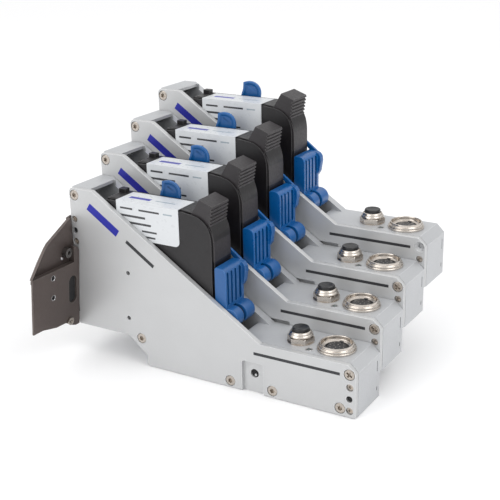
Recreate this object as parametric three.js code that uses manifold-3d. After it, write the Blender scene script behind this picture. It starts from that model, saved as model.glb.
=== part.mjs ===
// Print head of an inkjet date coder: four identical cartridge modules bolted side by side.
// Each module stands one print swath higher than the one before it, so that the four
// half-inch nozzle rows together print one tall line.
//
// Units are millimetres. +X runs from the print side to the connectors, +Y across the stack
// and +Z up. Inside one module, X starts at the print side, Y at the outer face of its side
// plate and Z at the underside of its connector box.
import * as THREE from 'three';
import { mergeVertices } from 'three/addons/utils/BufferGeometryUtils.js';
import Module from 'manifold-3d';

const wasm = await Module();
wasm.setup();

// ---------------------------------------------------------------- driving dimensions
const MODULES = 4;
const SWATH = 12.7;                 // step up from one module to the next
const PITCH = 28.6;                 // step across from one module to the next
const WIDTH = 28.3;                 // width of one module
const LENGTH = 170.6;               // print side to connector end
const TOP = 95;                     // highest point of the casing
const NOSE_BOTTOM = 15.8;           // underside of the front part
const NOSE_LENGTH = 35;             // where the underside starts to slope down
const HEEL = 46.2;                  // where the connector box begins, underneath
const HEEL_TOP = 6.2;               // height of the upright step there
const DECK = 28.3;                  // top of the connector box
const SLOPE_TOP = 15.2;             // X where the sloped opening begins
const SLOPE_END = 117;              // X where it meets the deck
const END_CHAMFER = 4.4;
const PLATE = 2.9;                  // side plate
const WALL = 2.4;                   // front wall, floor and end wall of the housing
const FAR_WALL = 5;                 // housing wall opposite the side plate
const FAR_WALL_DROP = 4.5;          // how far its sloped edge lies below the side plate's
const GAP = 0.3;                    // air between separate pieces
const CAP_LENGTH = 14;              // roof over the front of the cartridge bay
const CAP_THICK = 3.2;

const CARTRIDGE = { near: 3.6, far: 21.3, front: 20.5, rear: 88.5, bottom: 20, top: 91.2 };
const SNOUT = { near: 6.5, far: 18, front: 3.3, bottom: 24, top: 46 };
const NOZZLE = { near: 8.5, far: 16, bottom: 27, top: 43, thick: 0.5 };
const LABEL = { front: 29, rear: 68.5, far: 18.9, bottom: 71, thick: 0.25, gap: 0.1 };

const PIVOT = { x: 97.2, z: 36.9, pin: 1.95, bore: 2.25, knuckle: 5.3 };
const LATCH = { near: 3.6, far: 21.4, front: 89, rear: 95.9, top: 62.9 };
const GROOVES = [[4.7, 1.9], [8.4, 1.9], [12.2, 1.9], [16.3, 2.4]];   // start and width across the lever
const ARM = { near: 21.6, far: 23.1 };
const EAR = { near: 10.6, far: 12.5 };

const AXIS_Y = 14.2;                // centre line of the controls on the deck
const BUTTON = { x: 133.2, cap: 4.9, bore: 5.2, hex: 7.2, top: 36.1 };
const CONNECTOR = { x: 153.4, flange: 10.4, rim: 9.1, bore: 7.4, top: 31.9, foot: 18 };
const LED = { x: 141.6, y: 6.8, r: 1.2 };

const SCREW_HEAD = 2.8;             // countersunk M3 head radius
const SCREW_SEATS = [[3.4, 91.2], [43.1, 15.6], [99.2, 3.8], [124.1, 3.9], [162.2, 4.1], [167, 23.2]];
const JOIN_HOLES = [[2.4, 77.5], [2.4, 64.8], [167.4, 16.4], [167.4, 3.7]];   // one swath apart
const DOWEL_HOLES = [[2.4, 71.2], [167.2, 10.1]];
const FIXING_HOLES = [[36.6, 52.3], [35.4, 26.1]];
const POCKET = { x0: 106.4, x1: 119, top: 17.4, depth: 1.8, hole: 2.4, holeX: 113, holeZ: 10.5 };

// ---------------------------------------------------------------- colours
const FINISH = {
  casing: { color: 0xc9cacc, roughness: 0.45, metalness: 0.6 },
  ink_case: { color: 0x3a3a3c, roughness: 0.6, metalness: 0 },
  label: { color: 0xe8ebee, roughness: 0.5, metalness: 0 },
  blue: { color: 0x1c68b3, roughness: 0.4, metalness: 0 },
  nickel: { color: 0xbdb3a8, roughness: 0.25, metalness: 1 },
  black: { color: 0x222326, roughness: 0.5, metalness: 0 },
  board: { color: 0x1f5a3a, roughness: 0.5, metalness: 0 },
  gold: { color: 0xb08a4a, roughness: 0.3, metalness: 1 },
  steel: { color: 0x9a9a9c, roughness: 0.3, metalness: 1 },
  lens: { color: 0x8fa0a0, roughness: 0.15, metalness: 0 },
  bronze: { color: 0x5a504d, roughness: 0.5, metalness: 0.7 },
};

// ---------------------------------------------------------------- solids
function solid(geometry) {
  geometry.deleteAttribute('normal');
  geometry.deleteAttribute('uv');
  const merged = mergeVertices(geometry, 1e-4);
  const mesh = new wasm.Mesh({
    numProp: 3,
    vertProperties: new Float32Array(merged.attributes.position.array),
    triVerts: new Uint32Array(merged.index.array),
  });
  return new wasm.Manifold(mesh);
}

function geometryOf(manifold) {
  const mesh = manifold.getMesh();
  const geometry = new THREE.BufferGeometry();
  geometry.setAttribute('position', new THREE.BufferAttribute(new Float32Array(mesh.vertProperties), 3));
  geometry.setIndex(new THREE.BufferAttribute(new Uint32Array(mesh.triVerts), 1));
  geometry.computeVertexNormals();
  return geometry;
}

// An XZ outline made thick from Y = near to Y = far.
function slab(outline, near, far, curveSegments = 6) {
  const points = outline instanceof THREE.Shape ? null : outline.map(([x, z]) => new THREE.Vector2(x, z));
  const shape = points ? new THREE.Shape(points) : outline;
  const depth = far - near;
  const geometry = new THREE.ExtrudeGeometry(shape, { depth, bevelEnabled: false, curveSegments });
  geometry.rotateX(Math.PI / 2);
  geometry.translate(0, far, 0);
  return solid(geometry);
}

function block(x0, x1, y0, y1, z0, z1) {
  const geometry = new THREE.BoxGeometry(x1 - x0, y1 - y0, z1 - z0);
  geometry.translate((x0 + x1) / 2, (y0 + y1) / 2, (z0 + z1) / 2);
  return solid(geometry);
}

// A rod or cone along Y; r1 is the radius at the far end.
function rodY(x, z, r0, near, far, r1 = r0, sides = 12) {
  const geometry = new THREE.CylinderGeometry(r1, r0, far - near, sides);
  geometry.translate(x, (near + far) / 2, z);
  return solid(geometry);
}

// A turned piece around the vertical line through (x, y).
function turned(profile, x, y, sides = 20) {
  const geometry = new THREE.LatheGeometry(profile.map(([r, z]) => new THREE.Vector2(r, z)), sides);
  geometry.rotateX(Math.PI / 2);
  geometry.translate(x, y, 0);
  return solid(geometry);
}

function rodZ(x, y, r, z0, z1, sides = 20) {
  const geometry = new THREE.CylinderGeometry(r, r, z1 - z0, sides);
  geometry.rotateX(Math.PI / 2);
  geometry.translate(x, y, (z0 + z1) / 2);
  return solid(geometry);
}

function rodX(y, z, r, x0, x1, sides = 16) {
  const geometry = new THREE.CylinderGeometry(r, r, x1 - x0, sides);
  geometry.rotateZ(Math.PI / 2);
  geometry.translate((x0 + x1) / 2, y, z);
  return solid(geometry);
}

// A YZ outline made thick from X = x0 to X = x1.
function plateYZ(outline, x0, x1) {
  const shape = new THREE.Shape(outline.map(([y, z]) => new THREE.Vector2(y, z)));
  const geometry = new THREE.ExtrudeGeometry(shape, { depth: x1 - x0, bevelEnabled: false });
  geometry.rotateX(Math.PI / 2);
  geometry.rotateZ(Math.PI / 2);
  geometry.translate(x0, 0, 0);
  return solid(geometry);
}

function joined(pieces) {
  return pieces.reduce((sum, piece) => sum.add(piece));
}

// Side view of the whole casing; drop lowers the sloped edge.
function casingOutline(drop = 0) {
  const slide = drop * (SLOPE_END - SLOPE_TOP) / (TOP - DECK);
  return [
    [0, NOSE_BOTTOM], [NOSE_LENGTH, NOSE_BOTTOM], [HEEL, HEEL_TOP], [HEEL, 0],
    [LENGTH, 0], [LENGTH, DECK - END_CHAMFER], [LENGTH - END_CHAMFER, DECK],
    [SLOPE_END - slide, DECK], [SLOPE_TOP - slide, TOP], [0, TOP],
  ];
}

// ---------------------------------------------------------------- pieces of one module
function sidePlate() {
  let plate = slab(casingOutline(), 0, PLATE);
  for (const [x, z] of SCREW_SEATS) {
    plate = plate.subtract(rodY(x, z, SCREW_HEAD + 0.2, -0.05, 1.9, 1.3));
  }
  for (const [x, z] of JOIN_HOLES) {
    plate = plate.subtract(rodY(x, z, 2, -1, 2));
  }
  for (const [x, z] of DOWEL_HOLES) plate = plate.subtract(rodY(x, z, 1.6, -1, 2, 1.6, 10));
  for (const [x, z] of FIXING_HOLES) plate = plate.subtract(rodY(x, z, 1.25, -1, PLATE + 1, 1.25, 8));
  const pocket = new THREE.Shape();
  pocket.moveTo(POCKET.x0, -1);
  pocket.lineTo(POCKET.x1, -1);
  pocket.lineTo(POCKET.x1, POCKET.top);
  pocket.lineTo(POCKET.x0 + 1.5, POCKET.top);
  pocket.absarc(POCKET.x0 + 1.5, POCKET.top - 1.5, 1.5, Math.PI / 2, Math.PI, false);
  pocket.lineTo(POCKET.x0, -1);
  plate = plate.subtract(slab(pocket, -1, POCKET.depth));
  return plate.subtract(rodY(POCKET.holeX, POCKET.holeZ, POCKET.hole, -1, PLATE + 1));
}

function housing() {
  const near = PLATE + GAP;
  const inner = WIDTH - FAR_WALL;
  let body = slab(casingOutline(), near, inner + 0.1);
  const bay = [
    [WALL, NOSE_BOTTOM + WALL], [NOSE_LENGTH + 1, NOSE_BOTTOM + WALL], [HEEL + WALL, HEEL_TOP + 1.4],
    [HEEL + WALL, WALL], [103, WALL], [103, DECK], [130, DECK], [130, TOP + 20], [CAP_LENGTH, TOP + 20],
    [CAP_LENGTH, TOP - CAP_THICK], [WALL, TOP - CAP_THICK],
  ];
  const box = [
    [105, WALL], [LENGTH - WALL, WALL], [LENGTH - WALL, DECK - END_CHAMFER - 1],
    [LENGTH - END_CHAMFER - 1, DECK - WALL], [105, DECK - WALL],
  ];
  body = body.subtract(slab(bay, near - 1, inner + 1));
  body = body.subtract(slab(box, near - 1, inner + 1));
  body = body.add(slab(casingOutline(FAR_WALL_DROP), inner, WIDTH));
  const bosses = SCREW_SEATS.map(([x, z]) => rodY(x, z, 2.6, near, inner + 1, 2.6, 8));
  const standoffs = [[110.5, 12], [160, 12]].map(([x, z]) => rodY(x, z, 2, 6, inner + 1, 2, 8));
  body = joined([body, ...bosses, ...standoffs]);
  const ear = new THREE.Shape();
  ear.moveTo(101, 12);
  ear.lineTo(101, 30);
  ear.absarc(PIVOT.x, PIVOT.z, 3.9, -0.34, Math.PI * 1.1, false);
  ear.lineTo(97, 12);
  body = body.add(slab(ear, EAR.near, EAR.far).add(block(97, 101, EAR.near, inner + 1, 12, 16)));
  body = body.subtract(rodY(PIVOT.x, PIVOT.z, PIVOT.bore, near, inner + 3));
  body = body.subtract(block(-1, WALL + 1, SNOUT.near + 1, SNOUT.far - 1, SNOUT.bottom + 2, SNOUT.top - 2));
  body = body.subtract(rodZ(BUTTON.x, AXIS_Y, BUTTON.bore + 1.1, DECK - 8, DECK + 1));
  body = body.subtract(rodZ(CONNECTOR.x, AXIS_Y, CONNECTOR.rim + 0.3, CONNECTOR.foot - 0.5, DECK + 1));
  return body.subtract(rodZ(LED.x, LED.y, LED.r + 0.3, DECK - 4, DECK + 1, 12));
}

function cartridge() {
  const { near, far, front, rear, bottom, top } = CARTRIDGE;
  const side = new THREE.Shape();
  side.moveTo(front, bottom);
  side.lineTo(74, bottom);
  side.lineTo(rear, 42);
  side.lineTo(rear, 74.5);
  side.bezierCurveTo(rear, 83.5, 85.5, 90, 75, 90.6);
  side.lineTo(70, top);
  side.lineTo(front, top);
  let body = slab(side, near, far, 8);
  const grip = [[74, 88], [80.3, 98], [88.2, 95.2]];
  const ridges = 6;
  const ridgePitch = 1.9;
  for (let i = 0; i < ridges; i += 1) {
    const z = 94.9 - i * ridgePitch;
    const x = 88.2 - i * 0.28;
    grip.push([x, z]);
    grip.push([x - 0.8, z - 0.4]);
    grip.push([x - 0.8, z - ridgePitch + 0.4]);
  }
  grip.push([86.7, 83.4]);
  grip.push([87.7, 81]);
  grip.push([88.4, 78]);
  grip.push([rear, 72]);
  grip.push([80, 72]);
  body = body.add(slab(grip, near + 0.8, far - 0.8));
  body = body.add(block(SNOUT.front, front + 1, SNOUT.near, SNOUT.far, SNOUT.bottom, SNOUT.top));
  const lug = block(17.6, front + 1, far - 3, far, top - 4.5, top + 0.6);
  return body.add(lug);
}

function nozzlePlate() {
  const x = SNOUT.front - 0.1;
  return block(x - NOZZLE.thick, x, NOZZLE.near, NOZZLE.far, NOZZLE.bottom, NOZZLE.top);
}

function cartridgeLabel() {
  const y = CARTRIDGE.near - LABEL.gap;
  const z = CARTRIDGE.top + LABEL.gap;
  const { front, rear, far, bottom, thick } = LABEL;
  const outline = [
    [y - thick, bottom], [y, bottom], [y, z], [far, z], [far, z + thick], [y - thick, z + thick],
  ];
  return plateYZ(outline, front, rear);
}

function latch() {
  const { near, far, front, rear, top } = LATCH;
  const side = new THREE.Shape();
  side.moveTo(front, 43.5);
  side.lineTo(front, top);
  side.lineTo(90.6, top + 0.8);
  side.lineTo(93, top + 0.4);
  side.absarc(92.8, 60.1, 3.1, Math.PI * 0.45, 0, true);
  side.lineTo(rear, 41);
  side.lineTo(92.2, 36);
  let lever = slab(side, near, far);
  for (const [y, width] of GROOVES) {
    lever = lever.subtract(block(rear - 2.6, rear + 1, y, y + width, 43, 60.6));
  }
  const knuckleNear = rodY(PIVOT.x, PIVOT.z, PIVOT.knuckle, near, EAR.near - GAP, PIVOT.knuckle, 20);
  const knuckleFar = rodY(PIVOT.x, PIVOT.z, PIVOT.knuckle, EAR.far + GAP, far, PIVOT.knuckle, 20);
  lever = joined([lever, knuckleNear, knuckleFar]);
  lever = lever.subtract(slab([[90, 28], [105, 28], [105, 42.2], [90, 42.2]], EAR.near - GAP, EAR.far + GAP));
  const hood = new THREE.Shape();
  hood.moveTo(91.8, 49.5);
  hood.lineTo(90.8, top + 0.4);
  hood.lineTo(93.8, top + 0.2);
  hood.quadraticCurveTo(98, 61.5, 98, 57.7);
  hood.lineTo(97, 51.7);
  hood.lineTo(95.2, 49.5);
  lever = lever.add(slab(hood, far - 1.8, ARM.far));
  lever = lever.add(slab([[92.8, top - 3], [87.4, 65.4], [54.4, 84.6], [46, 86], [46, 88.4], [55.6, 87.2],
    [88, 68], [94.2, top + 0.2], [94.2, top - 3]], ARM.near, ARM.far));
  const tab = new THREE.Shape();
  tab.moveTo(41.9, 87.6);
  tab.quadraticCurveTo(46.4, 93.2, 45.9, 98.9);
  tab.bezierCurveTo(52.2, 101.6, 57.6, 98.4, 57.5, 93);
  tab.quadraticCurveTo(57.3, 88.8, 54.2, 85.6);
  lever = lever.add(slab(tab, ARM.near, ARM.far));
  return lever.subtract(rodY(PIVOT.x, PIVOT.z, PIVOT.bore, near - 1, far + 0.1));
}

function latchPin() {
  return rodY(PIVOT.x, PIVOT.z, PIVOT.pin, LATCH.near, WIDTH - FAR_WALL + 2.7);
}

function contactBlock() {
  const base = block(52, 72, 6.5, 18.5, 9, 17.4);
  return base.add(block(54, 70, 8, 17, 17, CARTRIDGE.bottom - 0.6));
}

function buttonBushing() {
  const ring = turned([
    [3.3, 22], [BUTTON.bore + 0.8, 22], [BUTTON.bore + 0.8, 31.4], [7, 31.4], [7, 31.9],
    [5.9, 33.4], [BUTTON.bore, 33.4], [BUTTON.bore, 31.2], [3.3, 31.2], [3.3, 22],
  ], BUTTON.x, AXIS_Y, 20);
  const nut = rodZ(BUTTON.x, AXIS_Y, BUTTON.hex, DECK + GAP, 31.6, 6);
  const bore = rodZ(BUTTON.x, AXIS_Y, BUTTON.bore + 0.4, DECK - 1, 33);
  return ring.add(nut.subtract(bore));
}

function buttonCap() {
  return turned([
    [0, 23], [2.9, 23], [2.9, 33], [BUTTON.cap, 33], [BUTTON.cap, BUTTON.top - 0.7],
    [BUTTON.cap - 0.7, BUTTON.top], [0, BUTTON.top],
  ], BUTTON.x, AXIS_Y, 20);
}

function connectorShell() {
  const { flange, rim, bore, top, foot } = CONNECTOR;
  return turned([
    [bore, foot], [rim, foot], [rim, DECK + GAP], [flange, DECK + GAP], [flange, 30.2],
    [flange - 0.8, 31], [rim - 0.5, 31], [rim - 0.9, top], [bore + 0.2, top], [bore, top - 0.3], [bore, foot],
  ], CONNECTOR.x, AXIS_Y);
}

function connectorInsert() {
  const r = CONNECTOR.bore - GAP;
  const foot = CONNECTOR.foot + 0.5;
  return turned([[0, foot], [r, foot], [r, 26.6], [0, 26.6]], CONNECTOR.x, AXIS_Y, 20);
}

function statusLed() {
  const { r } = LED;
  const profile = [[0, DECK - 3], [r, DECK - 3], [r, DECK + 0.1], [r * 0.7, DECK + 0.5], [0, DECK + 0.6]];
  return turned(profile, LED.x, LED.y, 12);
}

function circuitBoard() {
  return block(107, 164.5, 4.1, 5.7, 7.5, 17);
}

const PIECES = [
  ['side_plate', sidePlate, 'casing'],
  ['housing', housing, 'casing'],
  ['cartridge', cartridge, 'ink_case'],
  ['nozzle_plate', nozzlePlate, 'gold'],
  ['cartridge_label', cartridgeLabel, 'label'],
  ['latch_lever', latch, 'blue'],
  ['latch_pin', latchPin, 'steel'],
  ['contact_block', contactBlock, 'black'],
  ['button_bushing', buttonBushing, 'nickel'],
  ['button_cap', buttonCap, 'black'],
  ['connector_shell', connectorShell, 'nickel'],
  ['connector_insert', connectorInsert, 'black'],
  ['status_led', statusLed, 'lens'],
  ['circuit_board', circuitBoard, 'board'],
];

// ---------------------------------------------------------------- nose bracket
// A formed plate beside the first module's nose: a flat lower face with tapped holes and a
// slot, and a shallow pocket above it with sloping walls. It is built upright and then
// tipped about its lower end.
const BRACKET_TILT = THREE.MathUtils.degToRad(5);
const BRACKET = { front: 0.7, back: -1.5, floor: -3.3, skin: 1.6, ledge: 54.5, inner: -0.4, hinge: 20 };
const BRACKET_FACE = [
  [-38, 55], [-38, 23.5], [-30.7, 23.4], [-19.7, 20.8], [-12.1, 20.5], [-6.5, 17.2], [-3.6, 16.1],
  [-0.4, 16.1], [-0.4, 60.5], [-1.6, 62.6], [-3.2, 63.5], [-4.5, 63.7], [-4.5, 54.5],
];
const POCKET_RIM = [[-2.9, -3.2, 79], [-1.4, -23, 70.6], [-1.1, -25.6, 68.6], [0.3, -38, 55]];
const POCKET_FLOOR = [
  [BRACKET.floor, -1.4, 74.6], [BRACKET.floor, -12.4, 67.4], [BRACKET.floor, -28.5, 60.8],
  [BRACKET.floor, -31.6, 53.4],
];
const BRACKET_HOLES = [[-21.8, 51], [-21.8, 39.5]];
const BRACKET_SLOT = { y: -5.9, bottom: 34, top: 43.8, r: 3.2, depth: 1.2 };
const CAP_SCREW = { y: -7.4, z: 60.6, r: 2.75, height: 3 };
const EDGE_SCREW = { y: -8.6, z: 20.6, r: 2.2, height: 1.2 };

// The flat between some points, made thick towards the back.
function sheet(points) {
  const back = points.map(([x, y, z]) => [x - BRACKET.skin, y, z]);
  return wasm.Manifold.hull([...points, ...back]);
}

function noseBracket() {
  const { front, back, floor, skin, ledge, inner } = BRACKET;
  const core = BRACKET_FACE.map(([y, z]) => [Math.max(y, -36.4), z < 25 ? z + 1.4 : z]);
  const pieces = [plateYZ(BRACKET_FACE, front - 1, front), plateYZ(core, back, front - 0.9)];
  for (let i = 0; i < 3; i += 1) {
    pieces.push(sheet([POCKET_RIM[i], POCKET_RIM[i + 1], POCKET_FLOOR[i + 1], POCKET_FLOOR[i]]));
  }
  pieces.push(sheet([...POCKET_FLOOR, [floor, -1, 53.4]]));
  pieces.push(sheet([[front, -37.8, ledge], [front, inner, ledge], [floor, inner, 53.4], [floor, -31.6, 53.4],
    [front, -37.8, 52.6], [front, inner, 52.6], [floor, inner, 51.6], [floor, -31.6, 51.6]]));
  pieces.push(block(floor - skin, front - 0.5, -4.5, inner, 52, 60.5));
  let plate = joined(pieces);
  for (const [y, z] of BRACKET_HOLES) plate = plate.subtract(rodX(y, z, 1.6, back - 4, front + 1, 12));
  const slot = new THREE.Shape();
  slot.absarc(BRACKET_SLOT.y, BRACKET_SLOT.top, BRACKET_SLOT.r, 0, Math.PI, false);
  slot.absarc(BRACKET_SLOT.y, BRACKET_SLOT.bottom, BRACKET_SLOT.r, Math.PI, Math.PI * 2, false);
  const edge = slot.getPoints(6).map((point) => [point.x, point.y]);
  plate = plate.subtract(plateYZ(edge, front - BRACKET_SLOT.depth, front + 1));
  plate = plate.subtract(rodX(CAP_SCREW.y, CAP_SCREW.z, 1.5, floor - 3, floor + 1, 12));
  return plate.subtract(rodX(EDGE_SCREW.y, EDGE_SCREW.z, 1.4, back - 1, front + 1, 12));
}

// A screw along X whose head rests on the given face of the bracket.
function bracketScrew({ y, z, r, height }, seat, end) {
  const head = rodX(y, z, r, seat + 0.1, seat + height, 16);
  const socket = rodX(y, z, 1.25, seat + height - 0.9, seat + height + 1, 6);
  const shank = rodX(y, z, 1.2, end, seat + 0.3, 12);
  return head.add(shank).subtract(socket);
}

// ---------------------------------------------------------------- assembly
function meshOf(name, manifold, finish) {
  const mesh = new THREE.Mesh(geometryOf(manifold), new THREE.MeshStandardMaterial(FINISH[finish]));
  mesh.name = name;
  return mesh;
}

const printer = new THREE.Group();
for (let i = 0; i < MODULES; i += 1) {
  const module = new THREE.Group();
  for (const [name, make, finish] of PIECES) module.add(meshOf(`${name}_${i + 1}`, make(), finish));
  module.position.set(0, i * PITCH, i * SWATH);
  printer.add(module);
}

const bracket = new THREE.Group();
bracket.add(meshOf('nose_bracket', noseBracket(), 'bronze'));
bracket.add(meshOf('bracket_screw_upper', bracketScrew(CAP_SCREW, BRACKET.floor, -6.5), 'steel'));
bracket.add(meshOf('bracket_screw_lower', bracketScrew(EDGE_SCREW, BRACKET.front, -3), 'steel'));
for (const mesh of bracket.children) mesh.geometry.translate(0, 0, -BRACKET.hinge);
bracket.rotation.y = BRACKET_TILT;
bracket.position.z = BRACKET.hinge;
printer.add(bracket);

printer.updateMatrixWorld(true);
const bounds = new THREE.Box3().setFromObject(printer, true);
printer.position.set(-(bounds.min.x + bounds.max.x) / 2, -(bounds.min.y + bounds.max.y) / 2, -bounds.min.z);

export default printer;
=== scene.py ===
import math

import bmesh
import bpy
from mathutils import Matrix, Vector


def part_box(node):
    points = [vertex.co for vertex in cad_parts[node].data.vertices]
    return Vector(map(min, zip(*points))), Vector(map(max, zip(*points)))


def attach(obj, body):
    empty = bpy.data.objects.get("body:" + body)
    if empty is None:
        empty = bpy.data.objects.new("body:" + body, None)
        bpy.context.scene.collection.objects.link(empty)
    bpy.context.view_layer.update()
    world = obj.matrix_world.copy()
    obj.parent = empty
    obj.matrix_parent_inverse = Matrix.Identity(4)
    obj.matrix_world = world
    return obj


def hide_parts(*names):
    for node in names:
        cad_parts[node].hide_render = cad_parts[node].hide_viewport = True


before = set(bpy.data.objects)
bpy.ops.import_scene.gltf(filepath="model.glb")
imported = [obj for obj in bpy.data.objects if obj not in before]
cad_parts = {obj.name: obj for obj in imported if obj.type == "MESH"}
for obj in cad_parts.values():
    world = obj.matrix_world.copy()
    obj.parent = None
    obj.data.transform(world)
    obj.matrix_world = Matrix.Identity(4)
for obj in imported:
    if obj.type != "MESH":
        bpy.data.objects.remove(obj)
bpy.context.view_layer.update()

# Everything below is written in one module's own frame, in millimetres: X from the print
# face, Y from the outer face of the side plate, Z from the underside. Module k stands
# k * (0, PITCH, SWATH) further on.
MM = 0.001
MODULES = 4
PITCH, SWATH = 28.6, 12.7
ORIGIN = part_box("side_plate_1")[0]
TOP, DECK, LENGTH = 95.0, 28.3, 170.6
SLOPE_TOP, SLOPE_END = 15.2, 117.0

# Places as (X, Z) on the plate's side and (X, Y) on the deck.
AXIS_Y = 14.2
HINGE = (97.2, 36.9)
POCKET_HOLE = (113, 10.5)
BUTTON_AT = (133.2, AXIS_Y)
SOCKET_AT = (153.4, AXIS_Y)
LAMP_AT = (141.6, 6.8)
SCREW_SEATS = [(3.4, 91.2), (43.1, 15.6), (99.2, 3.8), (124.1, 3.9), (162.2, 4.1), (167.0, 23.2)]
JOIN_HOLES = [(2.4, 77.5), (2.4, 64.8), (167.4, 16.4), (167.4, 3.7)]
DOWEL_HOLES = [(2.4, 71.2), (167.2, 10.1)]
FIXING_HOLES = [(36.6, 52.3), (35.4, 26.1)]


def home(k):
    """The origin of module k's frame, in metres."""
    return ORIGIN + Vector((0, k * PITCH, k * SWATH)) * MM


# ------------------------------------------------------------------ mesh helpers
ON_AXIS = 1e-6            # a radius below this is a point on the axis
WELD = 1e-6               # vertices closer than this are one, in metres
FILLET_REACH = 0.48       # a fillet uses at most this share of each side
SHARPEST = 0.25           # limits how far inset() pushes a sharp corner


def link(ob):
    bpy.context.scene.collection.objects.link(ob)
    return ob


def new_object(name, bm):
    bmesh.ops.recalc_face_normals(bm, faces=bm.faces)
    mesh = bpy.data.meshes.new(name)
    bm.to_mesh(mesh)
    bm.free()
    return link(bpy.data.objects.new(name, mesh))


def spot(axis, a, b, t):
    """A point from two outline coordinates and the distance along the axis."""
    return {"X": (t, a, b), "Y": (a, t, b), "Z": (a, b, t)}[axis]


def area2(outline):
    """Twice the signed area of an outline."""
    return sum(p[0] * q[1] - q[0] * p[1] for p, q in zip(outline, outline[1:] + outline[:1]))


def fillet(points, radius, steps=5):
    """Rounds the corners of an outline; radius is one number or {index: number}."""
    out = []
    for i, point in enumerate(points):
        r = radius.get(i, 0) if isinstance(radius, dict) else radius
        p, a, b = Vector(point), Vector(points[i - 1]), Vector(points[(i + 1) % len(points)])
        if r <= 0:
            out.append(tuple(p))
            continue
        u, v = (a - p).normalized(), (b - p).normalized()
        half = u.angle(v) / 2
        t = min(r / math.tan(half), (a - p).length * FILLET_REACH, (b - p).length * FILLET_REACH)
        r = t * math.tan(half)
        c = p + (u + v).normalized() * (r / math.sin(half))
        s, e = p + u * t - c, p + v * t - c
        a0, a1 = math.atan2(s.y, s.x), math.atan2(e.y, e.x)
        turn = (a1 - a0 + math.pi) % (2 * math.pi) - math.pi
        for j in range(steps + 1):
            th = a0 + turn * j / steps
            out.append((c.x + r * math.cos(th), c.y + r * math.sin(th)))
    return out


def inset(outline, d):
    """The outline moved inwards by d."""
    out = []
    n = len(outline)
    for i in range(n):
        p, a, b = Vector(outline[i]), Vector(outline[i - 1]), Vector(outline[(i + 1) % n])
        u, v = (p - a).normalized(), (b - p).normalized()
        nu, nv = Vector((-u.y, u.x)), Vector((-v.y, v.x))
        m = nu + nv
        m = m / max(m.length_squared / 2, SHARPEST)
        out.append((p.x + m.x * d, p.y + m.y * d))
    return out


def stacked(outline, axis, rings):
    """The outline repeated along an axis; each ring is (place on the axis, inset)."""
    if area2(outline) < 0:
        outline = outline[::-1]
    bm = bmesh.new()
    loops = []
    for t, d in rings:
        pts = inset(outline, d) if d else outline
        loops.append([bm.verts.new(Vector(spot(axis, a, b, t)) * MM) for a, b in pts])
    n = len(outline)
    for low, high in zip(loops, loops[1:]):
        for i in range(n):
            j = (i + 1) % n
            bm.faces.new((low[i], low[j], high[j], high[i]))
    bm.faces.new(loops[0][::-1])
    bm.faces.new(loops[-1])
    return new_object("solid", bm)


def prism(outline, axis, lo, hi, edge=0.0):
    """The outline made thick along an axis, with its two rims rounded off by edge."""
    if not edge:
        return stacked(outline, axis, [(lo, 0), (hi, 0)])
    low = [(lo, edge), (lo + 0.3 * edge, 0.3 * edge), (lo + edge, 0)]
    return stacked(outline, axis, low + [(lo + hi - t, d) for t, d in low[::-1]])


def box(x0, x1, y0, y1, z0, z1, edge=0.0, corner=0.0):
    outline = [(x0, z0), (x1, z0), (x1, z1), (x0, z1)]
    return prism(fillet(outline, corner, 3) if corner else outline, "Y", y0, y1, edge)


def lathe(profile, axis, centre, segments):
    """A profile of (radius, distance) turned round an axis through centre (two coordinates)."""
    bm = bmesh.new()
    rings = []
    for r, t in profile:
        if r <= ON_AXIS:
            rings.append([bm.verts.new(Vector(spot(axis, *centre, t)) * MM)])
            continue
        ring = []
        for i in range(segments):
            th = 2 * math.pi * i / segments
            a, b = centre[0] + r * math.cos(th), centre[1] + r * math.sin(th)
            ring.append(bm.verts.new(Vector(spot(axis, a, b, t)) * MM))
        rings.append(ring)
    closed = list(zip(rings, rings[1:]))
    if profile[0][0] > ON_AXIS:
        closed.append((rings[-1], rings[0]))
    for low, high in closed:
        for i in range(segments):
            j = (i + 1) % segments
            if len(low) == 1 and len(high) == 1:
                break
            if len(low) == 1:
                bm.faces.new((low[0], high[i], high[j]))
            elif len(high) == 1:
                bm.faces.new((low[i], low[j], high[0]))
            else:
                bm.faces.new((low[i], low[j], high[j], high[i]))
    return new_object("turned", bm)


def rod(radius, lo, hi, centre, segments, axis="Y"):
    return lathe([(0, lo), (radius, lo), (radius, hi), (0, hi)], axis, centre, segments)


def regular(centre, r, sides, turn=0.0):
    return [(centre[0] + r * math.cos(turn + 2 * math.pi * i / sides),
             centre[1] + r * math.sin(turn + 2 * math.pi * i / sides)) for i in range(sides)]


def bezier(p0, p1, p2, p3, steps):
    out = []
    for i in range(steps + 1):
        t = i / steps
        s = 1 - t
        out.append(tuple(s ** 3 * a + 3 * s * s * t * b + 3 * s * t * t * c + t ** 3 * d
                         for a, b, c, d in zip(p0, p1, p2, p3)))
    return out


def join(obs):
    """One mesh from several, with nothing merged."""
    bm = bmesh.new()
    for ob in obs:
        bm.from_mesh(ob.data)
        bpy.data.objects.remove(ob)
    mesh = bpy.data.meshes.new("joined")
    bm.to_mesh(mesh)
    bm.free()
    return link(bpy.data.objects.new("joined", mesh))


def bake(ob):
    """Turns the modifiers' result into the mesh itself."""
    depsgraph = bpy.context.evaluated_depsgraph_get()
    mesh = bpy.data.meshes.new_from_object(ob.evaluated_get(depsgraph))
    ob.modifiers.clear()
    ob.data = mesh
    return ob


def boolean(ob, others, operation):
    for other in others:
        modifier = ob.modifiers.new("cut", "BOOLEAN")
        modifier.operation = operation
        modifier.solver = "EXACT"
        modifier.object = other
        bake(ob)
        bpy.data.objects.remove(other)
    return ob


def cut(ob, *others):
    return boolean(ob, others, "DIFFERENCE")


def fuse(ob, *others):
    return boolean(ob, others, "UNION")


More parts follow.
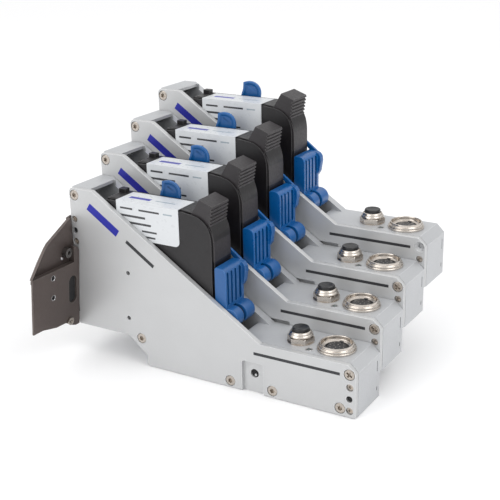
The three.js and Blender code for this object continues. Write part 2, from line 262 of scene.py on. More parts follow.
def bevelled(ob, width):
    """Cleans up a CAD mesh's flat faces and rounds off its edges."""
    bm = bmesh.new()
    bm.from_mesh(ob.data)
    bmesh.ops.remove_doubles(bm, verts=bm.verts, dist=WELD)
    bmesh.ops.dissolve_limit(bm, angle_limit=math.radians(1), verts=bm.verts, edges=bm.edges)
    bm.to_mesh(ob.data)
    bm.free()
    modifier = ob.modifiers.new("edge", "BEVEL")
    modifier.width = width * MM
    modifier.segments = 2
    modifier.limit_method = "ANGLE"
    modifier.angle_limit = math.radians(35)
    modifier.use_clamp_overlap = True
    return bake(ob)


def copied(node):
    """A working copy of a CAD node's mesh, from the first module, in that module's frame."""
    ob = bpy.data.objects.new("copy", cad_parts[node].data.copy())
    ob.data.transform(Matrix.Translation(-home(0)))
    return link(ob)


def moved(ob, x, y, z, spin=None):
    if spin:
        ob.data.transform(spin)
    ob.data.transform(Matrix.Translation(Vector((x, y, z)) * MM))
    return ob


def duplicate(ob):
    out = ob.copy()
    out.data = ob.data.copy()
    return link(out)


# ------------------------------------------------------------------ materials
MIX_A, MIX_B, MIX_RESULT = 6, 7, 2        # the Mix node's colour sockets
NOISE_LOW, NOISE_HIGH = 0.3, 0.7          # where a noise texture's values mostly lie
MOTTLE_SCALE, FLECK_SCALE = 45.0, 400.0
ROUGH_SPREAD = 0.08
COAT_ROUGH = 0.12
WEAR_WIDTH = 0.45                         # millimetres either side of an edge
WEAR_START, WEAR_FULL, WEAR_MOST = 0.995, 0.9, 0.75


def material(name, colour, metallic=0.0, rough=0.5, grain=1500.0, bump=0.02, mottle=0.08,
             wear=None, coat=0.0, stretch=(1, 1, 1), extra=None):
    """Colour with fine grain, slow mottling, a roughness that varies, and lighter worn edges."""
    mat = bpy.data.materials.new(name)
    mat.use_nodes = True
    nodes, links = mat.node_tree.nodes, mat.node_tree.links
    shader = nodes["Principled BSDF"]
    shader.inputs["Metallic"].default_value = metallic
    if coat:
        shader.inputs["Coat Weight"].default_value = coat
        shader.inputs["Coat Roughness"].default_value = COAT_ROUGH
    place = nodes.new("ShaderNodeTexCoord")
    mapping = nodes.new("ShaderNodeMapping")
    mapping.inputs["Scale"].default_value = stretch
    links.new(place.outputs["Object"], mapping.inputs["Vector"])

    def noise(scale, detail):
        node = nodes.new("ShaderNodeTexNoise")
        node.inputs["Scale"].default_value = scale
        node.inputs["Detail"].default_value = detail
        links.new(mapping.outputs["Vector"], node.inputs["Vector"])
        return node.outputs["Fac"]

    def ranged(value, low, high):
        node = nodes.new("ShaderNodeMapRange")
        node.inputs["From Min"].default_value = NOISE_LOW
        node.inputs["From Max"].default_value = NOISE_HIGH
        node.inputs["To Min"].default_value = low
        node.inputs["To Max"].default_value = high
        links.new(value, node.inputs["Value"])
        return node.outputs["Result"]

    def mixed(factor, a, b):
        node = nodes.new("ShaderNodeMix")
        node.data_type = "RGBA"
        links.new(factor, node.inputs["Factor"])
        for value, key in ((a, MIX_A), (b, MIX_B)):
            if isinstance(value, tuple):
                node.inputs[key].default_value = (*value, 1)
            else:
                links.new(value, node.inputs[key])
        return node.outputs[MIX_RESULT]

    def shade(f):
        return tuple(min(1.0, c * f) for c in colour)

    slow, fine = noise(MOTTLE_SCALE, 4.0), noise(grain, 2.0)
    tint = mixed(ranged(slow, 0, 1), shade(1 - mottle), shade(1 + mottle))
    tint = mixed(ranged(fine, 0, 0.5), tint, shade(1 - 1.5 * mottle))
    if extra:
        tint = extra(nodes, links, place.outputs["Object"], mixed, tint)
    if wear:
        bevel = nodes.new("ShaderNodeBevel")
        bevel.samples = 4
        bevel.inputs["Radius"].default_value = WEAR_WIDTH * MM
        geometry = nodes.new("ShaderNodeNewGeometry")
        dot = nodes.new("ShaderNodeVectorMath")
        dot.operation = "DOT_PRODUCT"
        links.new(bevel.outputs["Normal"], dot.inputs[0])
        links.new(geometry.outputs["Normal"], dot.inputs[1])
        edge = nodes.new("ShaderNodeMapRange")
        edge.inputs["From Min"].default_value = WEAR_START
        edge.inputs["From Max"].default_value = WEAR_FULL
        edge.inputs["To Max"].default_value = WEAR_MOST
        links.new(dot.outputs["Value"], edge.inputs["Value"])
        broken = nodes.new("ShaderNodeMath")
        broken.operation = "MULTIPLY"
        links.new(edge.outputs["Result"], broken.inputs[0])
        links.new(ranged(noise(FLECK_SCALE, 3.0), 0.35, 1.0), broken.inputs[1])
        tint = mixed(broken.outputs["Value"], tint, wear)
    links.new(tint, shader.inputs["Base Color"])
    links.new(ranged(noise(grain * 0.4, 3.0), rough - ROUGH_SPREAD, rough + ROUGH_SPREAD),
              shader.inputs["Roughness"])
    bumps = nodes.new("ShaderNodeBump")
    bumps.inputs["Strength"].default_value = 0.6
    bumps.inputs["Distance"].default_value = bump * MM
    links.new(fine, bumps.inputs["Height"])
    links.new(bumps.outputs["Normal"], shader.inputs["Normal"])
    return mat


PRINT_REACH = 0.6         # a bar prints on surfaces this near to its level, in millimetres


def bar_mask(nodes, links, place, a, b, half, normal, level):
    """1 inside a bar from a to b, in the plane across normal at that level, else 0."""
    def math_node(operation, x, y=None):
        node = nodes.new("ShaderNodeMath")
        node.operation = operation
        for i, value in enumerate((x, y)):
            if value is None:
                continue
            if isinstance(value, float):
                node.inputs[i].default_value = value
            else:
                links.new(value, node.inputs[i])
        return node.outputs["Value"]

    def within(value, limit):
        return math_node("LESS_THAN", math_node("ABSOLUTE", value), limit)

    split = nodes.new("ShaderNodeSeparateXYZ")
    links.new(place, split.inputs["Vector"])
    first, second, third = {"Y": ("X", "Z", "Y"), "Z": ("X", "Y", "Z")}[normal]
    u, v, w = split.outputs[first], split.outputs[second], split.outputs[third]
    a, b = Vector(a) * MM, Vector(b) * MM
    d = (b - a).normalized()
    centre, length = (a + b) / 2, (b - a).length / 2
    along = math_node("ADD", math_node("MULTIPLY", math_node("SUBTRACT", u, centre.x), d.x),
                      math_node("MULTIPLY", math_node("SUBTRACT", v, centre.y), d.y))
    across = math_node("ADD", math_node("MULTIPLY", math_node("SUBTRACT", u, centre.x), -d.y),
                       math_node("MULTIPLY", math_node("SUBTRACT", v, centre.y), d.x))
    inside = math_node("MULTIPLY", within(along, length), within(across, half * MM))
    off = math_node("SUBTRACT", w, level * MM)
    return math_node("MULTIPLY", inside, within(off, PRINT_REACH * MM))


def printed(bars):
    """Plain printed bars: (start, end, half width, colour, normal, level)."""
    def paint(nodes, links, place, mixed, tint):
        for a, b, half, colour, normal, level in bars:
            mask = bar_mask(nodes, links, place, a, b, half, normal, level)
            tint = mixed(mask, tint, colour)
        return tint
    return paint


INK_BLUE, INK_DARK, INK_GREY = (0.022, 0.026, 0.34), (0.035, 0.036, 0.04), (0.30, 0.36, 0.40)
PLATE_FACE, LABEL_TOP, LABEL_SIDE = 0.0, 91.4, 3.4
plate_marks = printed([
    ((12.6, 86.2), (31.2, 73.6), 2.2, INK_BLUE, "Y", PLATE_FACE),
    ((36.6, 70.2), (53.6, 58.8), 1.0, INK_DARK, "Y", PLATE_FACE),
    ((113.5, 22.6), (162.0, 22.6), 0.8, INK_DARK, "Y", PLATE_FACE),
])
label_marks = printed([
    ((33.0, 10.5), (46.5, 10.5), 1.5, INK_BLUE, "Z", LABEL_TOP),
    ((49.5, 10.5), (62.0, 10.5), 0.6, INK_GREY, "Z", LABEL_TOP),
    ((31.5, 87.6), (39.5, 87.6), 0.5, INK_DARK, "Y", LABEL_SIDE),
    ((43.5, 87.6), (56.5, 87.6), 0.5, INK_DARK, "Y", LABEL_SIDE),
    ((59.0, 87.6), (64.5, 87.6), 0.35, INK_GREY, "Y", LABEL_SIDE),
    ((31.5, 83.6), (47.5, 83.6), 0.6, INK_DARK, "Y", LABEL_SIDE),
    ((37.0, 80.0), (51.0, 80.0), 0.6, INK_DARK, "Y", LABEL_SIDE),
    ((45.0, 76.4), (54.5, 76.4), 0.5, INK_DARK, "Y", LABEL_SIDE),
    ((47.0, 73.4), (53.5, 73.4), 0.5, INK_DARK, "Y", LABEL_SIDE),
])

ALUMINIUM = dict(metallic=0.35, rough=0.42, grain=2600.0, bump=0.012, mottle=0.025,
                 wear=(0.86, 0.87, 0.88))
INK_PLASTIC = dict(grain=1800.0, bump=0.03, mottle=0.12)
LATCH_PLASTIC = dict(grain=1300.0, bump=0.01, mottle=0.06, coat=0.25)
MAT = {
    "plate": material("anodised_plate", (0.535, 0.54, 0.545), extra=plate_marks, **ALUMINIUM),
    "casing": material("anodised_casing", (0.50, 0.51, 0.525), **ALUMINIUM),
    "ink_case": material("ink_case_plastic", (0.0085, 0.0072, 0.0085), rough=0.4,
                         wear=(0.10, 0.10, 0.10), **INK_PLASTIC),
    "grip": material("ink_case_grip", (0.028, 0.0245, 0.027), rough=0.46,
                     wear=(0.13, 0.125, 0.125), **INK_PLASTIC),
    "label": material("printed_film", (0.64, 0.66, 0.68), rough=0.32, grain=900.0, bump=0.004,
                      mottle=0.015, extra=label_marks, coat=0.3),
    "blue_first": material("latch_plastic_first", (0.006, 0.088, 0.28), rough=0.36,
                           wear=(0.09, 0.25, 0.56), **LATCH_PLASTIC),
    "blue": material("latch_plastic", (0.0, 0.092, 0.31), rough=0.34,
                     wear=(0.03, 0.24, 0.62), **LATCH_PLASTIC),
    "nickel": material("nickel_plate", (0.58, 0.53, 0.48), metallic=1.0, rough=0.24,
                       grain=1200.0, bump=0.004, mottle=0.05, wear=(0.9, 0.86, 0.8),
                       stretch=(1, 1, 6)),
    "screw": material("screw_steel", (0.50, 0.45, 0.40), metallic=1.0, rough=0.33,
                      grain=2500.0, bump=0.01, mottle=0.12, wear=(0.75, 0.7, 0.64)),
    "gunmetal": material("dark_steel", (0.16, 0.15, 0.145), metallic=0.9, rough=0.34,
                         grain=2200.0, bump=0.01, mottle=0.15, wear=(0.45, 0.43, 0.41)),
    "black": material("black_plastic", (0.012, 0.012, 0.013), rough=0.34, grain=1600.0,
                      bump=0.012, mottle=0.15, wear=(0.06, 0.06, 0.065)),
    "bronze": material("dark_anodised", (0.112, 0.090, 0.083), metallic=0.5, rough=0.42,
                       grain=2200.0, bump=0.02, mottle=0.10, wear=(0.30, 0.27, 0.25)),
    "board": material("solder_mask", (0.02, 0.13, 0.05), rough=0.3, grain=700.0, bump=0.01,
                      mottle=0.2),
    "gold": material("gold_contact", (0.72, 0.48, 0.16), metallic=1.0, rough=0.28, bump=0.004),
    "steel": material("turned_steel", (0.52, 0.52, 0.53), metallic=1.0, rough=0.3, bump=0.006),
    "lens": material("lamp_lens", (0.06, 0.075, 0.075), rough=0.12, grain=900.0, bump=0.002,
                     coat=0.6),
    # Black that stands in as painted shade in the dowel holes, behind the pocket hole and at the
    # floors of the bracket's holes and slot; the clip beside the bracket is also this black.
    "dark": material("deep_hole", (0.012, 0.012, 0.013), rough=0.7, grain=900.0, bump=0.01),
}


# ------------------------------------------------------------------ putting pieces in place
def dress(ob, mat, angle=32):
    """Gives a piece its material and smooth shading; edges above the angle stay sharp."""
    ob.data.materials.clear()
    ob.data.materials.append(MAT[mat])
    ob.data.shade_smooth()
    ob.data.set_sharp_from_angle(angle=math.radians(angle))
    modifier = ob.modifiers.new("normals", "WEIGHTED_NORMAL")
    modifier.mode = "FACE_AREA"
    modifier.keep_sharp = True
    return bake(ob)


def install(master, name, body, node=None, only=range(MODULES), first=None):
    """Puts one copy of a finished piece in each module; "{}" in a body is the module number.
    first names another material for the first module."""
    for k in only:
        ob = link(bpy.data.objects.new(f"{name}_{k + 1}", master.data))
        ob.location = home(k)
        if first and k == 0:
            ob.material_slots[0].link = "OBJECT"
            ob.material_slots[0].material = MAT[first]
        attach(ob, body.format(k + 1))
        if node:
            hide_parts(f"{node}_{k + 1}")
    bpy.data.objects.remove(master)


# ------------------------------------------------------------------ casing
PLATE_BACK, PLATE_EDGE = 3.12, 0.42
FAR_INNER = 23.3          # inner face of the housing's far wall
CROSS_SEAT = 5            # this seat holds the one cross-head screw


def casing_outline():
    return [(0, 15.8), (35, 15.8), (46.2, 6.2), (46.2, 0), (LENGTH, 0), (LENGTH, DECK - 4.4),
            (LENGTH - 4.4, DECK), (SLOPE_END, DECK), (SLOPE_TOP, TOP), (0, TOP)]


def side_plate():
    corners = {0: 0.8, 1: 0.6, 2: 0.6, 3: 0.8, 4: 0.8, 5: 0.8, 6: 0.8, 7: 0.5, 8: 1.0, 9: 2.2}
    plate = prism(fillet(casing_outline(), corners), "Y", 0, PLATE_BACK, PLATE_EDGE)
    countersink = [(0, -1), (3.0, -1), (3.0, 0.7), (1.35, 2.2), (1.35, 4), (0, 4)]
    seats = [lathe(countersink, "Y", c, 32) for c in SCREW_SEATS]
    bores = [rod(2.0, -1, 2.0, c, 32) for c in JOIN_HOLES]
    bores += [rod(1.75, -1, 2.2, c, 28) for c in DOWEL_HOLES]
    bores += [rod(1.25, -1, 4, c, 24) for c in FIXING_HOLES]
    outline = [(106.4, -2), (119, -2), (119, 17.4), (106.4, 17.4)]
    pocket = prism(fillet(outline, {3: 1.6, 2: 0.6}), "Y", -1, 1.8)
    hole = rod(2.4, -1, 4, POCKET_HOLE, 32)
    return dress(cut(plate, join(seats), join(bores), pocket, hole), "plate")


def head_piece(recess):
    """A countersunk head with a recess cut in it."""
    profile = [(0, 1.75), (1.5, 1.75), (2.6, 0.7), (2.72, 0.42), (2.68, 0.2), (2.5, 0.1),
               (2.1, 0.06), (0, 0.06)]
    return cut(lathe(profile, "Y", (0, 0), 32), recess)


def star():
    points = []
    for i in range(12):
        r = 1.55 if i % 2 else 1.15
        points.append((r * math.cos(math.pi * i / 6), r * math.sin(math.pi * i / 6)))
    return prism(points, "Y", -1, 1.5)


def cross():
    w, l = 0.5, 1.7
    points = [(w, w), (w, l), (-w, l), (-w, w), (-l, w), (-l, -w), (-w, -w), (-w, -l), (w, -l),
              (w, -w), (l, -w), (l, w)]
    turn = math.radians(20)
    points = [(x * math.cos(turn) - z * math.sin(turn), x * math.sin(turn) + z * math.cos(turn))
              for x, z in points]
    return prism(points, "Y", -1, 1.6)


def side_screws():
    """The six screws of a plate, and the five of the last one, which lacks the cross-head."""
    stars = head_piece(star())
    crossed = head_piece(cross())
    rows = []
    for i, (x, z) in enumerate(SCREW_SEATS):
        head = duplicate(crossed if i == CROSS_SEAT else stars)
        rows.append(moved(head, x, 0, z, spin=Matrix.Rotation(0.5 * i, 4, "Y")))
    last_rows = [duplicate(r) for r in rows[:CROSS_SEAT]]
    bpy.data.objects.remove(stars)
    bpy.data.objects.remove(crossed)
    return dress(join(rows), "screw"), dress(join(last_rows), "screw")


def joining_screws():
    """Set screws sunk in their bores."""
    body = lathe([(0, 1.98), (1.9, 1.98), (1.9, 1.15), (1.7, 0.95), (0, 0.95)], "Y", (0, 0), 28)
    ring = cut(body, prism(regular((0, 0), 1.15, 6), "Y", -1, 1.75))
    rows = [moved(duplicate(ring), x, 0, z) for x, z in JOIN_HOLES]
    bpy.data.objects.remove(ring)
    return dress(join(rows), "screw")


def dowel_shade():
    # Black pins deep in the dowel holes; their black is painted shade in the holes.
    profile = [(0, 2.18), (1.6, 2.18), (1.6, 1.2), (1.4, 1.0), (0, 1.0)]
    return dress(join([lathe(profile, "Y", c, 28) for c in DOWEL_HOLES]), "dark")


def housing():
    """The CAD housing with a shorter, thinner roof, no ear, two slots in its end, and bevels."""
    body = copied("housing_1")
    slots = [box(169.2, 171.2, 24.9, 25.9, 14.6, 20.8), box(169.2, 171.2, 24.6, 25.8, 4.2, 6.6)]
    roof = [box(12.3, 15, 2, FAR_INNER, 90, 96), box(2.4, 14.5, 2, FAR_INNER, 90, 93.3)]
    ear = box(88, 102, 10.5, 12.6, 29.5, 42)
    body = cut(body, *slots, *roof, ear)
    return dress(bevelled(body, 0.3), "casing")


def shaded_hinge_ear():
    """The ear between the latch's two knuckles, small and black: painted shade in the gap
    between them.
    """
    x, z = HINGE
    r = 3.9
    arc = [(x + r * math.cos(math.radians(a)), z + r * math.sin(math.radians(a)))
           for a in range(-20, 201, 20)]
    ear = prism([(101, 28), (101, 35.4)] + arc + [(95.3, 28)], "Y", 10.6, 12.5, 0.2)
    return dress(cut(ear, rod(2.1, 0, 25, HINGE, 24)), "black")


def pocket_hole_shade():
    # A black disc behind the pocket's through hole: painted shade in the hole.
    return dress(rod(3.4, 2.95, 3.6, POCKET_HOLE, 32), "dark")


def pocket_stud():
    profile = [(0, 1.7), (0.55, 1.7), (0.75, 1.9), (0.75, 3.1), (0, 3.1)]
    return dress(lathe(profile, "Y", (113.6, 9.7), 20), "steel")


install(side_plate(), "outer_plate", "frame", "side_plate")
screws_all, screws_last = side_screws()
install(screws_all, "plate_screws", "frame", only=range(MODULES - 1))
install(screws_last, "plate_screws", "frame", only=[MODULES - 1])
install(joining_screws(), "joining_screws", "frame")
install(dowel_shade(), "dowel_shade_pins", "frame")
install(pocket_hole_shade(), "pocket_hole_shade", "frame")
install(pocket_stud(), "pocket_stud", "frame")
install(housing(), "casing_body", "frame", "housing")
install(shaded_hinge_ear(), "shaded_hinge_ear", "frame")


# ------------------------------------------------------------------ ink cartridge
NEAR, FAR, FRONT, REAR, BOTTOM, HIGH = 3.6, 21.3, 20.5, 88.5, 20.0, 91.2
RIDGES, RIDGE_PITCH = 6, 1.9


def cartridge_shell():
    """The near panel, the narrow groove behind it, the main body, the snout and a lug."""
    def side(out, top):
        curve = bezier((REAR - out, 74.5), (REAR - out, 83.4 - out / 2), (85.5 - out, 90 - out),
                       (75 - out / 2, 90.6 - out), 18)
        front = [(FRONT + out, 87.5), (FRONT + out, BOTTOM + out), (74, BOTTOM + out),
                 (REAR - out, 42)]
        return front + curve + [(70, top), (22 + out, top)]

    panel = prism(side(0.75, 90.45), "Y", NEAR, NEAR + 0.85, 0.28)
    groove = prism(side(1.6, 90.2), "Y", NEAR + 0.5, NEAR + 2.2)
    core = prism(side(0.0, HIGH), "Y", NEAR + 1.6, FAR, 0.45)
    snout = box(3.3, FRONT + 1, 6.5, 18, 24, 46, 0.6, 1.0)
    lug = box(22.3, 26.6, 14.8, 18.8, HIGH - 1, HIGH + 2.5, 0.25)
    return dress(join([panel, groove, core, snout, lug]), "ink_case")


def cartridge_grip():
    outline = [(74, 87.6), (80.3, 98.0), (88.2, 95.2)]
    for i in range(RIDGES):
        x, z = 88.2 - 0.28 * i, 94.9 - RIDGE_PITCH * i
        outline += [(x - 0.2, z), (x, z - 0.25), (x, z - 0.8), (x - 0.25, z - 1.05),
                    (x - 0.9, z - 1.25), (x - 0.9, z - 1.7)]
    outline += bezier((86.0, 83.4), (87.4, 81.4), (88.55, 78.6), (88.6, 74), 8)
    outline += [(88.6, 66), (84, 66)]
    grip = prism(outline, "Y", NEAR + 1.3, FAR - 0.4, 0.3)
    return dress(grip, "grip", 26)


def sticker():
    near = [(29, 71), (68.5, 71), (68.5, 91.3), (29, 91.3)]
    side = prism(fillet(near, {1: 2.6}), "Y", 3.24, 3.44)
    top = prism([(29, 3.3), (68.5, 3.3), (68.5, 18.9), (29, 18.9)], "Z", 91.26, 91.46, 0.05)
    return dress(join([side, top]), "label")


def cartridge_lid():
    """The low lid on the cartridge's top, ahead of the label."""
    return dress(box(23.2, 28.4, NEAR + 2.2, 14.2, HIGH - 0.2, HIGH + 0.3, 0.1), "ink_case")


install(cartridge_shell(), "ink_shell", "ink_cartridge_{}", "cartridge")
install(cartridge_grip(), "ink_grip", "ink_cartridge_{}")
install(sticker(), "ink_sticker", "ink_cartridge_{}", "cartridge_label")
install(cartridge_lid(), "ink_lid", "ink_cartridge_{}")


# ------------------------------------------------------------------ latch
LEVER_NEAR, LEVER_FAR, ARM_NEAR, ARM_FAR = 3.6, 21.4, 21.6, 23.1
EAR_NEAR, EAR_FAR = 10.3, 12.8                     # the gap that the hinge ear stands in
GROOVES = [(4.8, 1.8, 92.6), (8.5, 1.8, 92.6), (12.3, 1.8, 92.6), (16.4, 2.3, 91.2)]


def thumb_tab():
    """The tab with its raised rim and hollow; its hollow side looks towards -Y."""
    outline = [(41.9, 87.6), (44.2, 91.0), (45.6, 95.0), (45.9, 98.8)]
    outline += bezier((45.9, 98.8), (52.2, 101.4), (57.6, 98.4), (57.5, 93), 12)[1:]
    outline += [(57.2, 90.2), (56.1, 87.8), (54.2, 85.6)]
    lo, hi = ARM_NEAR, ARM_FAR
    return stacked(outline, "Y", [
        (hi, 0.35), (hi - 0.1, 0.1), (hi - 0.35, 0), (lo + 0.4, 0), (lo + 0.12, 0.12),
        (lo, 0.45), (lo, 1.0), (lo + 0.12, 1.35), (lo + 0.5, 1.7), (lo + 0.85, 2.3),
        (lo + 1.05, 3.2)])


def knuckle(a, b):
    return lathe([(0, a), (4.7, a), (5.1, a + 0.2), (5.3, a + 0.6), (5.3, b - 0.6),
                  (5.1, b - 0.2), (4.7, b), (0, b)], "Y", HINGE, 40)


def latch_lever():
    side = [(89.0, 43.5), (89.0, 62.8), (89.8, 63.6), (92.6, 63.5), (94.2, 63.0), (95.3, 62.0),
            (95.8, 60.6), (95.9, 58.9), (95.9, 41.0), (94.4, 37.5), (91.2, 37.5)]
    lever = prism(fillet(side, {0: 0.8, 1: 0.5, 8: 1.0}), "Y", LEVER_NEAR, LEVER_FAR, 0.5)
    grooves = []
    for y, width, floor in GROOVES:
        outline = [(y, 43.2), (y + width, 43.2), (y + width, 61.4), (y, 61.4)]
        grooves.append(prism(fillet(outline, 0.48 * width), "X", floor, 99))
    lever = cut(lever, join(grooves))
    lever = fuse(lever, knuckle(LEVER_NEAR, EAR_NEAR), knuckle(EAR_FAR, LEVER_FAR))
    lever = cut(lever, rod(2.25, 0, 25, HINGE, 28), box(89, 105, EAR_NEAR, EAR_FAR, 28, 42.2))
    hood = [(91.8, 49.5), (90.8, 63.2), (93.8, 63.3), (96.4, 62.3), (97.7, 60.5), (98.0, 57.7),
            (97.0, 51.7), (95.4, 49.0)]
    hood = prism(fillet(hood, 0.9, 3), "Y", 19.6, ARM_FAR, 0.5)
    arm = [(92.8, 59.9), (87.4, 65.4), (54.4, 84.6), (46, 86), (46, 88.4), (55.6, 87.2),
           (88, 68), (94.2, 63.3), (94.2, 59.9)]
    lever = fuse(lever, hood, prism(arm, "Y", ARM_NEAR, ARM_FAR, 0.3), thumb_tab())
    return dress(lever, "blue", 28)


install(latch_lever(), "latch_moulding", "latch_{}", "latch_lever", first="blue_first")


# ------------------------------------------------------------------ deck controls
CAP_RADIUS = 4.45
LAMP_RADIUS = 1.2


def push_button():
    r = CAP_RADIUS
    cap = [(0, 23), (2.9, 23), (2.9, 33.4), (r - 0.1, 33.4), (r, 33.6), (r, 35.4),
           (r - 0.12, 35.8), (r - 0.4, 36.05), (r - 0.8, 36.1), (r - 1.3, 36.0),
           (r - 1.9, 35.78), (0, 35.6)]
    return dress(lathe(cap, "Z", BUTTON_AT, 56), "black")


def button_collar():
    """A threaded bushing with a cone round the cap, held by a hexagon nut on a washer."""
    ring = [(3.3, 22), (5.6, 22), (5.6, 31.6), (6.25, 31.7), (6.4, 31.9), (6.3, 32.3),
            (5.9, 32.9), (5.75, 33.0), (5.7, 33.3), (5.3, 34.0), (5.05, 34.25), (4.8, 34.35),
            (4.62, 34.2), (4.55, 33.9), (4.55, 31.2), (3.3, 31.2)]
    ring = lathe(ring, "Z", BUTTON_AT, 56)
    nut = prism(regular(BUTTON_AT, 7.1, 6, 0.262), "Z", DECK + 0.35, 31.4)
    round_off = lathe([(0, 28), (7.0, 28), (7.3, 28.5), (7.3, 30.9), (6.9, 31.4), (0, 31.4)],
                      "Z", BUTTON_AT, 48)
    nut = boolean(nut, [round_off], "INTERSECT")
    bore = rod(5.5, 20, 40, BUTTON_AT, 48, "Z")
    washer = lathe([(5.5, DECK + 0.02), (7.0, DECK + 0.02), (7.0, DECK + 0.32),
                    (5.5, DECK + 0.32)], "Z", BUTTON_AT, 48)
    return dress(join([ring, cut(nut, bore), washer]), "nickel")


def socket_shell():
    shell = [(6.25, 18), (8.9, 18), (8.9, DECK + 0.05), (9.85, DECK + 0.05), (9.95, 28.4),
             (9.95, 29.2), (9.8, 29.4), (9.35, 29.45), (9.3, 29.65), (9.45, 29.8), (9.5, 30.3),
             (9.35, 30.5), (8.85, 30.6), (8.7, 30.8), (8.7, 31.6), (8.6, 31.82), (8.4, 31.9),
             (8.1, 31.85), (7.95, 31.65), (7.85, 31.2), (7.75, 30.3), (7.5, 29.9), (6.5, 29.5),
             (6.25, 29.3)]
    return dress(lathe(shell, "Z", SOCKET_AT, 64), "nickel")


def contact_places():
    """Eight contacts in a ring round four."""
    return regular(SOCKET_AT, 3.6, 8) + regular(SOCKET_AT, 1.6, 4)


def socket_insert():
    x, y = SOCKET_AT
    disc = lathe([(0, 18.5), (6.2, 18.5), (6.2, 29.4), (6.0, 29.6), (5.5, 29.6), (5.3, 29.1),
                  (0, 29.1)], "Z", SOCKET_AT, 56)
    island = lathe([(0, 28.9), (5.0, 28.9), (5.0, 29.6), (4.8, 29.8), (0, 29.8)], "Z",
                   SOCKET_AT, 48)
    key = box(x - 0.9, x + 0.9, y + 4.6, y + 6.1, 28.9, 30.2, 0.1)
    holes = [rod(0.42, 29.2, 31, c, 14, "Z") for c in contact_places()]
    return dress(join([disc, cut(island, join(holes)), key]), "black")


def socket_pins():
    profile = [(0, 29.0), (0.3, 29.0), (0.3, 29.85), (0.15, 30.05), (0, 30.05)]
    return dress(join([lathe(profile, "Z", c, 12) for c in contact_places()]), "gunmetal")


def status_lamp():
    r, shoulder = LAMP_RADIUS, DECK + 0.15
    dome = [(r * math.cos(a), shoulder + 0.45 * math.sin(a)) for a in (0.4, 0.8, 1.2)]
    lamp = [(0, DECK - 3), (r, DECK - 3), (r, shoulder)] + dome + [(0, DECK + 0.6)]
    return dress(lathe(lamp, "Z", LAMP_AT, 28), "lens")


def lamp_rim():
    rim = [(1.25, DECK - 1), (1.9, DECK - 1), (1.9, DECK + 0.12), (1.75, DECK + 0.25),
           (1.4, DECK + 0.22), (1.25, DECK + 0.05)]
    return dress(lathe(rim, "Z", LAMP_AT, 32), "steel")


install(push_button(), "push_cap", "button_{}", "button_cap")
install(button_collar(), "push_collar", "frame", "button_bushing")
install(socket_shell(), "socket_shell", "frame", "connector_shell")
install(socket_insert(), "socket_insert", "frame", "connector_insert")
install(socket_pins(), "socket_pins", "frame")
install(status_lamp(), "status_lamp", "frame", "status_led")
install(lamp_rim(), "lamp_rim", "frame")


# ------------------------------------------------------------------ nose bracket
BRACKET_TILT = math.radians(5)
BRACKET_FOOT = 20.0       # the height that the bracket leans about
BRACKET_FACE = 0.7
TAPPED_HOLES = [(-21.8, 51.0), (-21.8, 39.5)]
RIVET_AT = (-10.2, 57.4)


def tipped(ob, y=0.0, z=0.0):
    """From the bracket's own upright frame to the leaning one."""
    ob.data.transform(Matrix.Translation(Vector((0, y, z - BRACKET_FOOT)) * MM))
    ob.data.transform(Matrix.Rotation(BRACKET_TILT, 4, "Y"))
    return moved(ob, 0, 0, BRACKET_FOOT)


def bracket_part(ob, name, slot, *nodes):
    ob.name = name
    ob.location = home(0)
    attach(ob, "frame")
    if nodes:
        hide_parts(*nodes)


def bracket_plate():
    """The CAD bracket with rounded edges and a lip that runs up beside the nose."""
    bracket = bevelled(copied("nose_bracket"), 0.25)
    outline = [(-2.6, 54), (0.9, 54), (0.9, 79.2), (-2.6, 78.6)]
    return dress(join([bracket, prism(outline, "X", -1.4, -0.4, 0.1)]), "bronze")


def bracket_screw(node, radius, mat):
    """The CAD screw with its rim rounded and a hexagon socket."""
    low, high = ((corner - home(0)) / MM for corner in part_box(node))
    socket = prism(regular((0, 0), radius, 6), "X", -1.6, 2)
    socket.data.transform(Matrix.Rotation(BRACKET_TILT, 4, "Y"))
    moved(socket, high.x - 0.3, (low.y + high.y) / 2, (low.z + high.z) / 2)
    return dress(bevelled(cut(copied(node), socket), 0.2), mat)


def thread_liners():
    profile = [(1.25, -1.2), (1.62, -1.2), (1.62, BRACKET_FACE), (1.5, BRACKET_FACE + 0.05),
               (1.3, BRACKET_FACE - 0.15)]
    liners = [tipped(lathe(profile, "X", (0, 0), 28), y, z) for y, z in TAPPED_HOLES]
    return dress(join(liners), "steel")


def hole_shade_floors():
    """Black floors for the two tapped holes and the slot: painted shade in them."""
    backs = [tipped(rod(1.6, -1.3, -1.0, (0, 0), 24, "X"), y, z) for y, z in TAPPED_HOLES]
    slot = fillet([(-8.95, 31), (-2.85, 31), (-2.85, 46.8), (-8.95, 46.8)], 2.9)
    backs.append(tipped(prism(slot, "X", -0.6, -0.44)))
    return dress(join(backs), "dark")


def rivet():
    profile = [(0, -3.35), (1.0, -3.35), (1.0, -3.0), (0.8, -2.7), (0.45, -2.5), (0, -2.45)]
    return dress(tipped(lathe(profile, "X", (0, 0), 20), *RIVET_AT), "steel")


def edge_clip():
    return dress(box(-0.6, 1.2, -0.38, -0.08, 23.4, 28.2, 0.08), "dark")


bracket_part(bracket_plate(), "bracket_plate", "bronze", "nose_bracket")
bracket_part(bracket_screw("bracket_screw_upper", 1.3, "gunmetal"), "bracket_cap_screw", "steel",
             "bracket_screw_upper")
bracket_part(bracket_screw("bracket_screw_lower", 1.0, "screw"), "bracket_edge_screw", "steel",
             "bracket_screw_lower")
bracket_part(thread_liners(), "bracket_threads", "steel")
bracket_part(hole_shade_floors(), "bracket_hole_backs", "black")
bracket_part(rivet(), "bracket_rivet", "steel")
bracket_part(edge_clip(), "bracket_clip", "black")


# ------------------------------------------------------------------ CAD nodes that stay
KEPT = {"nozzle_plate": "gold", "latch_pin": "steel", "contact_block": "black",
        "circuit_board": "board"}
for base, mat in KEPT.items():
    for k in range(MODULES):
        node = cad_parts[f"{base}_{k + 1}"]
        node.data.materials.clear()
        node.data.materials.append(MAT[mat])


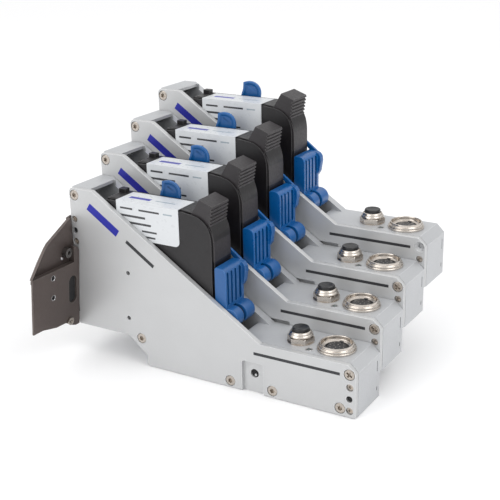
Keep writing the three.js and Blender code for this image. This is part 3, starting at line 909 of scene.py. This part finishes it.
# ------------------------------------------------------------------ floor, light and camera
FLOOR_GAP, FLOOR_REACH = 0.0002, 3.0               # metres
WORLD_DIM, WORLD_BRIGHT, WORLD_TOP = 0.38, 1.1, 0.55
LAMP_AIM = (0, 0, 0.05)
CAMERA_YAW, CAMERA_PITCH, CAMERA_ROLL = 30.95, 19.92, -1.16
CAMERA_PLACE = (356.0, -405.7, 249.7)              # in the first module's frame
LENS, SENSOR = 74.11, 36.0


def studio():
    floor_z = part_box("side_plate_1")[0].z - FLOOR_GAP
    bm = bmesh.new()
    corners = [bm.verts.new((sx * FLOOR_REACH, sy * FLOOR_REACH, floor_z))
               for sx, sy in ((-1, -1), (1, -1), (1, 1), (-1, 1))]
    bm.faces.new(corners)
    floor = new_object("floor", bm)
    mat = bpy.data.materials.new("pale_floor")
    mat.use_nodes = True
    shader = mat.node_tree.nodes["Principled BSDF"]
    shader.inputs["Base Color"].default_value = (0.95, 0.95, 0.955, 1)
    shader.inputs["Roughness"].default_value = 0.7
    floor.data.materials.append(mat)

    def lamp(name, at, size, power):
        data = bpy.data.lights.new(name, "AREA")
        data.size = size
        data.energy = power
        ob = link(bpy.data.objects.new(name, data))
        ob.location = at
        ob.rotation_euler = (Vector(LAMP_AIM) - Vector(at)).to_track_quat("-Z", "Y").to_euler()

    lamp("key_light", (-0.45, -0.95, 0.75), 0.9, 4.2)
    lamp("end_light", (0.9, -0.15, 1.1), 0.8, 4.0)

    # the surroundings are brighter overhead than at the horizon
    world = bpy.data.worlds.new("studio")
    world.use_nodes = True
    nodes, links = world.node_tree.nodes, world.node_tree.links
    nodes["Background"].inputs["Color"].default_value = (1, 1, 1, 1)
    place, split, ramp = (nodes.new(f"ShaderNode{kind}")
                          for kind in ("TexCoord", "SeparateXYZ", "MapRange"))
    for key, value in (("From Min", 0.0), ("From Max", WORLD_TOP), ("To Min", WORLD_DIM),
                       ("To Max", WORLD_BRIGHT)):
        ramp.inputs[key].default_value = value
    links.new(place.outputs["Generated"], split.inputs["Vector"])
    links.new(split.outputs["Z"], ramp.inputs["Value"])
    links.new(ramp.outputs["Result"], nodes["Background"].inputs["Strength"])
    bpy.context.scene.world = world
    bpy.context.scene.view_settings.view_transform = "Standard"


def camera():
    """The photo's viewpoint."""
    yaw, pitch, roll = (math.radians(a) for a in (CAMERA_YAW, CAMERA_PITCH, CAMERA_ROLL))
    forward = Vector((-math.sin(yaw) * math.cos(pitch), math.cos(yaw) * math.cos(pitch),
                      -math.sin(pitch)))
    right = Vector((math.cos(yaw), math.sin(yaw), 0))
    up = right.cross(forward)
    across = right * math.cos(roll) + up * math.sin(roll)
    above = -right * math.sin(roll) + up * math.cos(roll)
    data = bpy.data.cameras.new("camera")
    data.lens = LENS
    data.sensor_width = SENSOR
    data.clip_start = 0.01
    ob = link(bpy.data.objects.new("camera", data))
    place = ORIGIN + Vector(CAMERA_PLACE) * MM
    turn = Matrix((across, above, -forward)).transposed().to_4x4()
    ob.matrix_world = Matrix.Translation(place) @ turn
    bpy.context.scene.camera = ob


studio()
camera()
